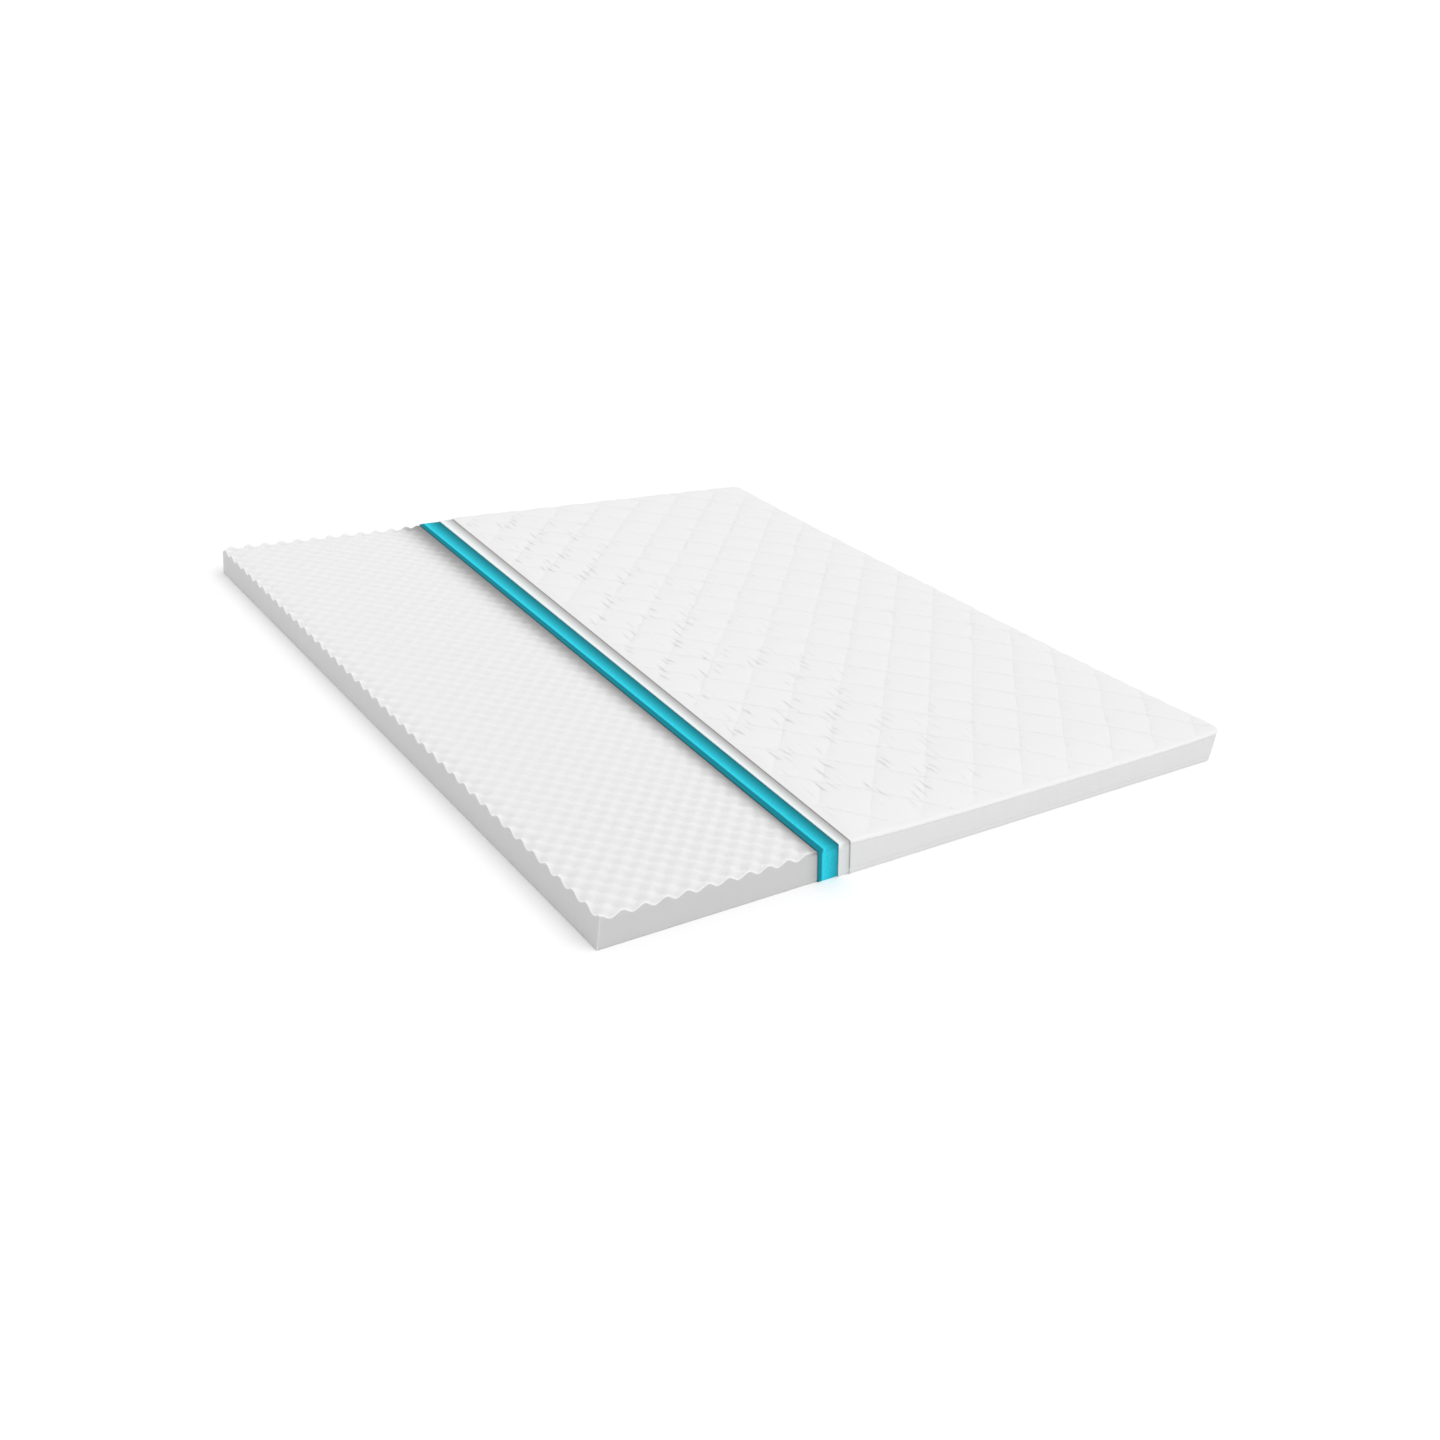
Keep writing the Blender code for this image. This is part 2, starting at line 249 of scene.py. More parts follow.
def noise(x, y, cell, seed):
    """Random heights from -1 to 1 on a square lattice that repeats, joined by cubic steps."""
    repeat = 256
    heights = np.random.default_rng(seed).uniform(-1.0, 1.0, (repeat, repeat))
    column, s = np.divmod(x / cell, 1.0)
    row, t = np.divmod(y / cell, 1.0)
    column, row = column.astype(int) % repeat, row.astype(int) % repeat
    right, up = (column + 1) % repeat, (row + 1) % repeat
    s, t = smooth(s), smooth(t)
    low = heights[row, column] * (1 - s) + heights[row, right] * s
    high = heights[up, column] * (1 - s) + heights[up, right] * s
    return low * (1 - t) + high * t


def cut_x(layer, y, z):
    """X of a layer's cut: a straight line from front to back that leans left with height."""
    layers = bpy.context.scene.topper_layers
    front, back = getattr(layers, layer + "_front"), getattr(layers, layer + "_back")
    slant = (front + back) / 2 + (back - front) / (2 * HALF_LENGTH) * y
    return slant + layers.lean * (CUT_HEIGHT - z)


def rim_drop(x, y):
    """Sinking of the front and right rims: a plateau along each rim that fades inwards."""
    layers = bpy.context.scene.topper_layers
    start = layers.cover_front
    front = plateau((x - start) / (HALF_WIDTH - start))
    front = front * (1.0 - smooth((y + HALF_LENGTH) / layers.drop_reach))
    right = plateau((y + HALF_LENGTH) / (2 * HALF_LENGTH))
    right = right * (1.0 - smooth((HALF_WIDTH - x) / layers.drop_reach))
    return layers.front_drop * front + layers.right_drop * right


def climb(layer):
    """Height that an underside climbs onto a layer's cloth: its thickness and a small gap."""
    sleeves = bpy.context.scene.topper_sleeves
    thickness = {"teal": sleeves.teal_thick, "white": sleeves.white_thick, "cover": BOTTOM_TOP}
    return thickness[layer] + 0.3 * MM


def settle(points, over=()):
    """Let the top sink by the rim drop, and the underside climb onto the layers in over.

    A climb is a straight ramp just before the layer's cut. Sinking and climbing
    fade into each other between heights of 20 and 65 mm.
    """
    x, y, z = points.T
    high = np.clip((z - 20 * MM) / (45 * MM), 0.0, 1.0)
    lift = 0.0
    for layer in over:
        ramp = (x - cut_x(layer, y, 0.0) - CLIMB[0]) / (CLIMB[1] - CLIMB[0])
        lift = lift + climb(layer) * np.clip(ramp, 0.0, 1.0)
    return np.stack((x, y, z + lift * (1.0 - high) - rim_drop(x, y) * high), axis=-1)


def from_rim(x, y):
    """Distance from the outline of the plan with its two rounded corners."""
    corner = bpy.context.scene.topper_layers.corner
    across = x - (HALF_WIDTH - corner)
    along = np.abs(y) - (HALF_LENGTH - corner)
    outside = np.hypot(np.maximum(across, 0.0), np.maximum(along, 0.0))
    return corner - outside - np.minimum(np.maximum(across, along), 0.0)


def from_cut_side(x, y):
    """Distance from the nearest of the foam's front, left and back sides."""
    return np.minimum(x + HALF_WIDTH, HALF_LENGTH - FOAM_INSET - np.abs(y))


# Plans: rows run from front to back, columns from left to right


def spread(reach, step):
    """Even steps from -reach to reach."""
    return np.arange(-reach, reach + MM, step)


def every(step, last, start=0):
    """Every so many counts from a start, and the last one."""
    return list(range(start, last, step)) + [last]


def plan_rows(inner, turns=7):
    """Rows of a plan: round the front corner, along the side, round the back corner.

    Gives for each row its y on the corners' centres, and how far the corner
    radius moves the row along Y and its right end along X.
    """
    limit = HALF_LENGTH - bpy.context.scene.topper_layers.corner
    inner = inner[np.abs(inner) < limit - 0.5 * MM]
    turn = np.linspace(0.0, math.pi / 2, turns + 1)[:-1]
    y = np.concatenate((np.full(turns + 1, -limit), inner, np.full(turns + 1, limit)))
    along = np.concatenate((-np.cos(turn), np.zeros(inner.size + 2), np.cos(turn[::-1])))
    across = np.concatenate((np.sin(turn), np.ones(inner.size + 2), np.sin(turn[::-1])))
    return y, along, across


def grid(rows, columns, inset, z):
    """Points of a plan at one height, for an outline set in from the cover's."""
    corner = bpy.context.scene.topper_layers.corner
    y, along, across = (row[:, None] for row in rows)
    y = y + along * (corner - inset)
    right = HALF_WIDTH - corner + across * (corner - inset)
    x = columns(y, right, z)
    return np.stack(np.broadcast_arrays(x, y, z), axis=-1)


def edge(layer, offset=0.0):
    """Line beside a layer's cut."""
    return lambda y, z: cut_x(layer, y, z) + offset


def upright(x):
    """Line that runs straight from front to back."""
    return lambda y, z: np.full_like(y, x)


def strips(*spans):
    """Columns that follow lines: a span is a line and the number of columns up to the next.

    The last line is the right side of the plan.
    """
    def columns(y, right, z):
        """Even steps from each line to the next, and the last line."""
        lines = [line(y, z) for line, _ in spans] + [right]
        parts = [a + (b - a) * np.arange(count) / count
                 for a, b, (_, count) in zip(lines, lines[1:], spans)]
        return np.concatenate(parts + [right], axis=1)
    return columns


def under_spans(*layers_over):
    """Spans where the underside climbs onto the cloths, and on to the right side."""
    spans = [(edge(layer, offset), 1) for layer in layers_over for offset in CLIMB]
    reach = bpy.context.scene.topper_layers.drop_reach
    return spans + [(edge("cover", 6 * MM), 14), (upright(HALF_WIDTH - reach), 8)]


# Patches: a grid of points with its pattern coordinates


def patch(points, uv=None, flip=False, keep=None):
    """A grid of points; keep holds the rows and columns that a coarse patch keeps inside."""
    uv = points[..., :2] if uv is None else uv
    return {"points": points, "uv": uv, "flip": flip, "keep": keep}


def outline(points, closed):
    """Border of a grid: front, right side, back, and the left side if closed."""
    parts = [points[0], points[1:, -1], points[-1, -2::-1]]
    if closed:
        parts.append(points[-2::-1, 0])
    return np.concatenate(parts)


def wall(rows, columns, profile, closed=False):
    """Wall round the outline through a profile of (inset, height) pairs, from the top down."""
    points = np.stack([outline(grid(rows, columns, *level), closed) for level in profile])
    along = np.linalg.norm(np.diff(points[0], axis=0), axis=-1)
    down = np.hypot(*np.diff(np.array(profile), axis=0).T)
    u = np.concatenate(([0.0], np.cumsum(along)))
    v = -np.concatenate(([0.0], np.cumsum(down)))
    uv = np.stack(np.broadcast_arrays(u[None, :], v[:, None]), axis=-1)
    return patch(points, uv, flip=True)


def body(rows, columns, profile, closed, keep=None):
    """Top, wall and underside of a layer."""
    return [patch(grid(rows, columns, *profile[0])),
            wall(rows, columns, profile, closed),
            patch(grid(rows, columns, *profile[-1]), flip=True, keep=keep)]


def sleeve_profile(inset, top):
    """Profile of a sleeve: a quarter round from its flat top, then down its upright wall."""
    fold = bpy.context.scene.topper_sleeves.fold
    turn = np.linspace(0.0, math.pi / 2, 5)
    over = [(inset + fold * (1.0 - math.sin(a)), top - fold * (1.0 - math.cos(a))) for a in turn]
    return over + [(inset, z) for z in (0.065, 0.050, 0.035, 0.020, 0.010, 0.0)]


# Meshes


def fine_faces(shape):
    """Corners of every cell of a grid."""
    index = np.arange(shape[0] * shape[1]).reshape(shape[:2])
    corners = (index[:-1, :-1], index[:-1, 1:], index[1:, 1:], index[1:, :-1])
    return np.stack(corners, axis=-1).reshape(-1, 4)


def coarse_faces(shape, keep):
    """Large cells of a grid, which keep every point along its border."""
    rows, columns = shape[:2]
    faces = []
    for r0, r1 in zip(keep[0], keep[0][1:]):
        for c0, c1 in zip(keep[1], keep[1][1:]):
            low = range(c0, c1) if r0 == 0 else (c0,)
            right = range(r0, r1) if c1 == columns - 1 else (r0,)
            high = range(c1, c0, -1) if r1 == rows - 1 else (c1,)
            left = range(r1, r0, -1) if c0 == 0 else (r1,)
            faces.append([r0 * columns + c for c in low] + [r * columns + c1 for r in right]
                         + [r1 * columns + c for c in high] + [r * columns + c0 for r in left])
    return faces


def weld_faces(faces, welded):
    """Faces after welding: a cell with a pinched edge turns into a smaller one or goes."""
    if isinstance(faces, np.ndarray):
        corners = welded[faces]
        same = corners == np.roll(corners, -1, axis=1)
        crossed = (corners[:, :2] == corners[:, 2:]).any(axis=1)
        pinches = same.sum(axis=1)
        whole = faces[(pinches == 0) & ~crossed]
        pinched = (pinches == 1) & ~crossed
        thirds = faces[pinched][~same[pinched]].reshape(-1, 3)
        return [whole.ravel(), thirds.ravel()], [np.full(len(whole), 4), np.full(len(thirds), 3)]
    loops, totals = [], []
    for face in faces:
        face = face[welded[face] != np.roll(welded[face], -1)]
        if face.size > 2:
            loops.append(face)
            totals.append([face.size])
    return loops, totals


def turn_quads(starts, heights):
    """Order of the face corners that splits each quad along its lower diagonal.

    A groove that runs diagonally through the quads then stays one clean line.
    """
    order = np.arange(heights.size)
    ring = starts[:, None] + np.arange(4)
    level = heights[ring]
    turned = level[:, 1] + level[:, 3] < level[:, 0] + level[:, 2]
    order[ring[turned]] = np.roll(ring[turned], -1, axis=1)
    return order


def make_mesh(name, patches, shape=None, tags=None, caps=()):
    """One welded and shaped mesh from patches.

    shape moves all points at once, tags holds a function of the points for each
    attribute, and caps are closed runs of points that are filled.
    """
    flat = np.concatenate([p["points"].reshape(-1, 3) for p in patches])
    uv = np.concatenate([p["uv"].reshape(-1, 2) for p in patches])
    _, first, welded = np.unique(np.round(flat / WELD).astype(np.int64), axis=0,
                                 return_index=True, return_inverse=True)
    welded = welded.ravel()
    loops, totals, start = [], [], 0
    for p in patches:
        grid_shape = p["points"].shape
        if p["keep"] is None:
            faces = fine_faces(grid_shape) + start
            faces = faces[:, ::-1] if p["flip"] else faces
        else:
            step = -1 if p["flip"] else 1
            faces = [np.array(face[::step]) + start for face in coarse_faces(grid_shape, p["keep"])]
        made = weld_faces(faces, welded)
        loops += made[0]
        totals += made[1]
        start += grid_shape[0] * grid_shape[1]
    made = weld_faces([np.array(cap) for cap in caps], welded)
    loops = np.concatenate(loops + made[0]).astype(np.int32)
    totals = np.concatenate(totals + made[1]).astype(np.int32)
    used, corners = np.unique(welded[loops], return_inverse=True)
    corners = corners.ravel().astype(np.int32)
    nominal = flat[first[used]]
    points = nominal if shape is None else shape(nominal)
    starts = np.concatenate(([0], np.cumsum(totals)[:-1])).astype(np.int32)
    turn = turn_quads(starts[totals == 4], points[corners, 2])
    loops, corners = loops[turn], corners[turn]
    mesh = bpy.data.meshes.new(name)
    mesh.vertices.add(used.size)
    mesh.vertices.foreach_set("co", points.astype(np.float32).ravel())
    mesh.loops.add(loops.size)
    mesh.loops.foreach_set("vertex_index", corners)
    mesh.polygons.add(totals.size)
    mesh.polygons.foreach_set("loop_start", starts)
    mesh.update(calc_edges=True)
    mesh.uv_layers.new(name="cloth").data.foreach_set("uv", uv[loops].astype(np.float32).ravel())
    for tag, value in (tags or {}).items():
        layer = mesh.attributes.new(tag, "FLOAT", "POINT")
        layer.data.foreach_set("value", value(nominal).astype(np.float32))
    mesh.validate()
    mesh.shade_smooth()
    mesh.set_sharp_from_angle(angle=SHARP)
    sharpen_border(mesh)
    return mesh


def sharpen_border(mesh):
    """Mark the open edges of a mesh as sharp, so that a cut edge of cloth stays crisp."""
    edges = np.empty(len(mesh.loops), np.int32)
    mesh.loops.foreach_get("edge_index", edges)
    layer = mesh.attributes.get("sharp_edge") or mesh.attributes.new("sharp_edge", "BOOLEAN", "EDGE")
    sharp = np.empty(len(mesh.edges), bool)
    layer.data.foreach_get("value", sharp)
    sharp |= np.bincount(edges, minlength=sharp.size) == 1
    layer.data.foreach_set("value", sharp)


def add_piece(mesh, material, replaces=(), thickness=0.0):
    """Put a finished mesh in the scene; thickness gives a cloth its body inwards."""
    if not mesh.polygons:
        raise RuntimeError(f"{mesh.name} came out empty")
    piece = bpy.data.objects.new(mesh.name, mesh)
    bpy.context.scene.collection.objects.link(piece)
    mesh.materials.append(material)
    if thickness:
        body_modifier = piece.modifiers.new("Thickness", "SOLIDIFY")
        body_modifier.thickness = thickness
        body_modifier.offset = -1.0
        body_modifier.use_even_offset = True
    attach(piece, "root")
    for node in replaces:
        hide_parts(node)
    return piece


# Materials


def linear(hex_value):
    """Linear RGBA of an sRGB hex value."""
    channels = [int(hex_value[i:i + 2], 16) / 255.0 for i in (0, 2, 4)]
    return [c / 12.92 if c <= 0.04045 else ((c + 0.055) / 1.055) ** 2.4 for c in channels] + [1.0]


def add_node(tree, kind, inputs=None, **settings):
    """Add a node: settings are its own properties, inputs are values or sockets to link."""
    node = tree.nodes.new(kind)
    for name, value in settings.items():
        setattr(node, name, value)
    for name, value in (inputs or {}).items():
        if isinstance(value, bpy.types.NodeSocket):
            tree.links.new(value, node.inputs[name])
        else:
            node.inputs[name].default_value = value
    return node


def attribute(tree, name):
    """Value that the mesh carries at each point."""
    return add_node(tree, "ShaderNodeAttribute", attribute_name=name).outputs["Fac"]


def on_object(tree):
    """Place on the piece, in metres."""
    return add_node(tree, "ShaderNodeTexCoord").outputs["Object"]


def on_cloth(tree, width, length):
    """Place on the flat cloth, in cells of a width and a length."""
    place = add_node(tree, "ShaderNodeUVMap", uv_map="cloth").outputs["UV"]
    return add_node(tree, "ShaderNodeVectorMath", {0: place, 1: (1.0 / width, 1.0 / length, 1.0)},
                    operation="MULTIPLY").outputs["Vector"]


def cells(tree, place, scale, randomness, **settings):
    """Voronoi cells, whose distance is 0 at each cell's middle."""
    return add_node(tree, "ShaderNodeTexVoronoi",
                    {"Vector": place, "Scale": scale, "Randomness": randomness}, **settings)


def cloth_material(name, colour_of, height_of, depth, roughness, gloss):
    """Matt fibre material: colour_of and height_of add their nodes and give a socket.

    gloss is the share of a smooth face's shine that comes back out of the fibres.
    """
    material = bpy.data.materials.new(name)
    material.use_nodes = True
    tree = material.node_tree
    shader = tree.nodes["Principled BSDF"]
    base = colour_of(tree)
    if isinstance(base, bpy.types.NodeSocket):
        tree.links.new(base, shader.inputs["Base Color"])
    else:
        shader.inputs["Base Color"].default_value = base
    shader.inputs["Roughness"].default_value = roughness
    shader.inputs["IOR"].default_value = 1.45
    shader.inputs["Specular IOR Level"].default_value = 0.5 * gloss
    bump = add_node(tree, "ShaderNodeBump",
                    {"Strength": 1.0, "Distance": depth, "Height": height_of(tree)})
    tree.links.new(bump.outputs["Normal"], shader.inputs["Normal"])
    return material


def mixed(tree, factor, low, high):
    """Colour between two colours or sockets."""
    node = add_node(tree, "ShaderNodeMix", {0: factor, 6: low, 7: high}, data_type="RGBA")
    return node.outputs[2]


def foam_material():
    """Open-cell polyurethane foam: a fine net of round pores that catches light softly.

    The pores are drawn about twice as wide as real ones, which are 1 to 1.5 mm.
    """
    foam = bpy.context.scene.topper_foam

    def pores(tree):
        """Cells of random shape, deepest in their middles."""
        return cells(tree, on_object(tree), 1.0 / foam.pore, 1.0).outputs["Distance"]

    def base(tree):
        """Colour of the top or of a cut side, mixed with the painted shade beside the sleeve; a cut side
        is darker partly as painted shade.
        """
        skin = mixed(tree, attribute(tree, "side"), linear(foam.top_hex), linear(foam.side_and_shade_hex))
        return mixed(tree, attribute(tree, "shade"), skin, linear(foam.shade_hex))

    material = cloth_material("open-cell foam", base, pores, 0.25 * MM, 0.95, 0.3)
    shader = material.node_tree.nodes["Principled BSDF"]
    shader.inputs["Subsurface Weight"].default_value = 1.0
    shader.inputs["Subsurface Radius"].default_value = (1.0, 1.0, 1.0)
    shader.inputs["Subsurface Scale"].default_value = foam.glow
    return material


def felt_material():
    """Needled polyester felt: short tangled fibres give it a dry, velvety face.

    The clumps of fibres are drawn about three times as wide as real ones.
    """
    sleeves = bpy.context.scene.topper_sleeves

    def fibres(tree):
        """Noise on several scales, pulled about by itself."""
        return add_node(tree, "ShaderNodeTexNoise",
                        {"Vector": on_object(tree), "Scale": 1.0 / sleeves.fibre,
                         "Detail": 3.0, "Distortion": 1.5}).outputs["Fac"]

    def base(tree):
        """Teal with painted shadow growing towards the white sleeve, painted shade on the hem, and some
        deep teal in the clumps.
        """
        painted_shadow = attribute(tree, "painted_shadow")
        face = mixed(tree, painted_shadow, linear(sleeves.teal_hex), linear(sleeves.teal_shade_and_clump_hex))
        tone = mixed(tree, attribute(tree, "hem"), face, linear(sleeves.hem_shade_hex))
        clump = add_node(tree, "ShaderNodeMapRange",
                         {"Value": fibres(tree), "From Min": 0.35, "From Max": 0.65, "To Max": 0.3})
        return mixed(tree, clump.outputs["Result"], tone, linear(sleeves.teal_shade_and_clump_hex))

    return cloth_material("needled felt", base, fibres, 0.3 * MM, 0.9, 0.2)


def bonded_material():
    """Spun-bonded polypropylene: pressed dots give it a faint, even grain.

    The dots are drawn about twice as far apart as real ones.
    """
    sleeves = bpy.context.scene.topper_sleeves

    def dots(tree):
        """Soft hollows on a square lattice."""
        place = on_cloth(tree, sleeves.bond, sleeves.bond)
        return cells(tree, place, 1.0, 0.0, feature="SMOOTH_F1",
                     voronoi_dimensions="2D").outputs["Distance"]

    def base(tree):
        """White that turns grey with the painted shadow of the cover."""
        painted_shadow = attribute(tree, "painted_shadow")
        return mixed(tree, painted_shadow, linear(sleeves.white_hex), linear(sleeves.cover_shadow_hex))

    return cloth_material("spun-bonded non-woven", base, dots, 0.2 * MM, 0.8, 0.5)


def jersey_material(name, hex_value):
    """Polyester jersey: upright columns of small loops give it a soft grain.

    The columns are drawn about three times as wide as real ones. Where the mesh
    carries the gathered attribute, fine wrinkles sink in and painted shade darkens them.
    """
    cover = bpy.context.scene.topper_cover
    grain = 0.2 * MM

    def wrinkles(tree):
        """One thin ellipse in each cell: 1 on its middle, 0 outside it."""
        place = on_cloth(tree, cover.wrinkle_gap, cover.wrinkle_step)
        cell = cells(tree, place, 1.0, 0.75, voronoi_dimensions="2D")
        offset = add_node(tree, "ShaderNodeVectorMath", {0: place, 1: cell.outputs["Position"]},
                          operation="SUBTRACT")
        halves = (2 * cover.wrinkle_gap / cover.wrinkle_width,
                  2 * cover.wrinkle_step / cover.wrinkle_length, 0.0)
        ellipse = add_node(tree, "ShaderNodeVectorMath", {0: offset.outputs["Vector"], 1: halves},
                           operation="MULTIPLY")
        away = add_node(tree, "ShaderNodeVectorMath", {0: ellipse.outputs["Vector"]},
                        operation="LENGTH")
        inside = add_node(tree, "ShaderNodeMapRange",
                          {"Value": away.outputs["Value"], "From Min": 1.0, "From Max": 0.0},
                          interpolation_type="SMOOTHSTEP")
        return add_node(tree, "ShaderNodeMath",
                        {0: inside.outputs["Result"], 1: attribute(tree, "gathered")},
                        operation="MULTIPLY").outputs["Value"]

    def base(tree):
        """Plain colour, with painted shade mixed in by the wrinkle's depth."""
        return mixed(tree, wrinkles(tree), linear(hex_value), linear(cover.wrinkle_shade_hex))

    def relief(tree):
        """Loops that rise by the grain, less the depth of a wrinkle."""
        place = on_cloth(tree, cover.wale, 1.4 * cover.wale)
        loops = cells(tree, place, 1.0, 0.35, voronoi_dimensions="2D")
        return add_node(tree, "ShaderNodeMath",
                        {0: wrinkles(tree), 1: -cover.wrinkle / grain, 2: loops.outputs["Distance"]},
                        operation="MULTIPLY_ADD").outputs["Value"]

    return cloth_material(name, base, relief, grain, 0.85, 0.5)


def thread_material():
    """Twisted polyester thread: a slight gloss sets the stitches off from the jersey."""
    def twist(tree):
        """Fine noise, as wide as a ply of the thread."""
        return add_node(tree, "ShaderNodeTexNoise",
                        {"Vector": on_object(tree), "Scale": 1.0 / (0.4 * MM)}).outputs["Fac"]

    thread_hex = bpy.context.scene.topper_cover.thread_hex
    return cloth_material("sewing thread", lambda tree: linear(thread_hex), twist, 0.05 * MM, 0.6, 1.0)


# Heights


def foam_height(x, y):
    """Egg-crate top: peak less rise, plus rise times the cosines of x and y.

    The rise is greatest at the cut sides, and greater in the front part than further
    back. It fades into the level of the peaks under the sleeve, whose edge presses it in.
    """
    foam = bpy.context.scene.topper_foam
    pitch = 2 * (HALF_LENGTH - FOAM_INSET) / foam.bumps
    wave = np.cos(math.tau * (x + HALF_WIDTH) / pitch)
    wave = wave * np.cos(math.tau * (y + HALF_LENGTH - FOAM_INSET) / pitch)
    share = foam.calm * (1.0 + 0.6 * smooth((-0.4 - y) / 0.5))
    rise = foam.rise * (1.0 - (1.0 - share) * smooth(from_cut_side(x, y) / (45 * MM)))
    inward = x - cut_x("teal", y, FOAM_PEAK)
    covered = smooth((inward + 40 * MM) / (36 * MM))
    pressed = foam.pressed * np.exp(-((inward - 4 * MM) / (11 * MM)) ** 2)
    return FOAM_PEAK - rise * (1.0 - wave) * (1.0 - covered) - pressed


def quilt(x, y):
    """Diamonds of the quilting: two slanted sines, whose zeros are the stitch lines."""
    cover = bpy.context.scene.topper_cover
    across = x - cover.quilt_x
    along = y - cover.quilt_y
    return (np.abs(np.sin(math.pi * (across + along) / cover.diamond)),
            np.abs(np.sin(math.pi * (across - along) / cover.diamond)))


def beside_line(sine, reach):
    """Close beside a stitch line: a bell curve of the line's sine, but 0 on the line itself."""
    return np.exp(-(sine / reach) ** 2) * np.minimum(sine / 0.12, 1.0)


def quilt_level(x, y):
    """Face of the quilted panel: level at the rim, and diamonds that puff up inside it.

    A diamond's swell is a power of the product of its two sines. The gathers are
    short ridges that run along the topper beside the stitch lines, in clusters.
    """
    cover = bpy.context.scene.topper_cover
    one, two = quilt(x, y)
    puff = (one * two) ** cover.fullness
    beside = beside_line(two, 0.45) + 0.5 * beside_line(one, 0.35)
    cluster = smooth((noise(x, y, 0.07, 9) + 0.4) / 0.6)
    gathers = smooth((noise(x, 0.2 * y, 9 * MM, 3) - 0.15) / 0.4) * beside * cluster
    inside = cover.stitch_level + cover.puff * puff + cover.pucker * gathers
    inside = inside + 0.5 * MM * noise(x, y, 0.11, 5) * puff
    level = cover.rim_level + (inside - cover.rim_level) * smooth(from_rim(x, y) / (30 * MM))
    from_cut = x - cut_x("cover", y, level)
    return cover.cut_level + (level - cover.cut_level) * smooth(from_cut / (25 * MM))


def stray(x, y):
    """Sideways shift of the stitch lines, which fades towards the rim and the cut."""
    cover = bpy.context.scene.topper_cover
    from_cut = x - cut_x("cover", y, cover.under)
    reach = cover.wander * smooth(from_rim(x, y) / (60 * MM)) * smooth(from_cut / (40 * MM))
    return tuple(reach * noise(x, y, 0.055, seed) for seed in (31, 32))


def across_strip(points, layer, over, start=0.0):
    """Place across the bare strip of a layer: 0 at its start, 1 at the cut of the layer over it."""
    x, y, z = points.T
    left = cut_x(layer, y, z) + start
    return np.clip((x - left) / (cut_x(over, y, z) - left), 0.0, 1.0)


# Operators


class TOPPER_OT_foam(bpy.types.Operator):
    """Make the foam core with its egg-crate top"""

    bl_idname = "topper.foam"
    bl_label = "Foam Core"

    def execute(self, context):
        rows = plan_rows(spread(0.965, 5 * MM))
        columns = strips((upright(-HALF_WIDTH), 104), (edge("teal", -10 * MM), 2),
                         (edge("teal", -1 * MM), 4), (edge("teal", 12 * MM), 1),
                         *under_spans("white", "cover"))
        profile = [(FOAM_INSET, FOAM_PEAK * share) for share in (1.0, 0.96, 0.85, 0.6, 0.3, 0.0)]
        height, width = grid(rows, columns, FOAM_INSET, 0.0).shape[:2]
        keep = (every(40, height - 1), every(26, 104) + [106, 110] + every(4, width - 1, 111))

        def shape(points):
            """Scale heights by the egg-crate top over its peak, then settle."""
            x, y, z = points.T
            raised = np.stack((x, y, z * foam_height(x, y) / FOAM_PEAK), axis=-1)
            return settle(raised, ("teal", "white", "cover"))

        def side(points):
            """One on a cut side, falling to nought a millimetre inside it, and nought on the top."""
            x, y, z = points.T
            return np.clip(1.0 - from_cut_side(x, y) / MM, 0.0, 1.0) * (z < 0.99 * FOAM_PEAK)

        def shade(points):
            """Bell curve of the distance before the sleeve's cut, wider and stronger at the back.

            The cut sides take three tenths of it.
            """
            x, y, z = points.T
            foam = context.scene.topper_foam
            before = np.maximum(cut_x("teal", y, z) - x, 0.0)
            reach = foam.shade_reach + foam.shade_gain * y
            strength = np.clip(0.97 + 0.05 * y, 0.0, 1.0)
            return np.exp(-(before / reach) ** 2) * strength * (0.3 + 0.7 * (z > 0.9 * FOAM_PEAK))

        mesh = make_mesh("foam", body(rows, columns, profile, closed=True, keep=keep), shape,
                         {"side": side, "shade": shade})
        piece = add_piece(mesh, foam_material(), ["foam_core"])
        return {"FINISHED"}


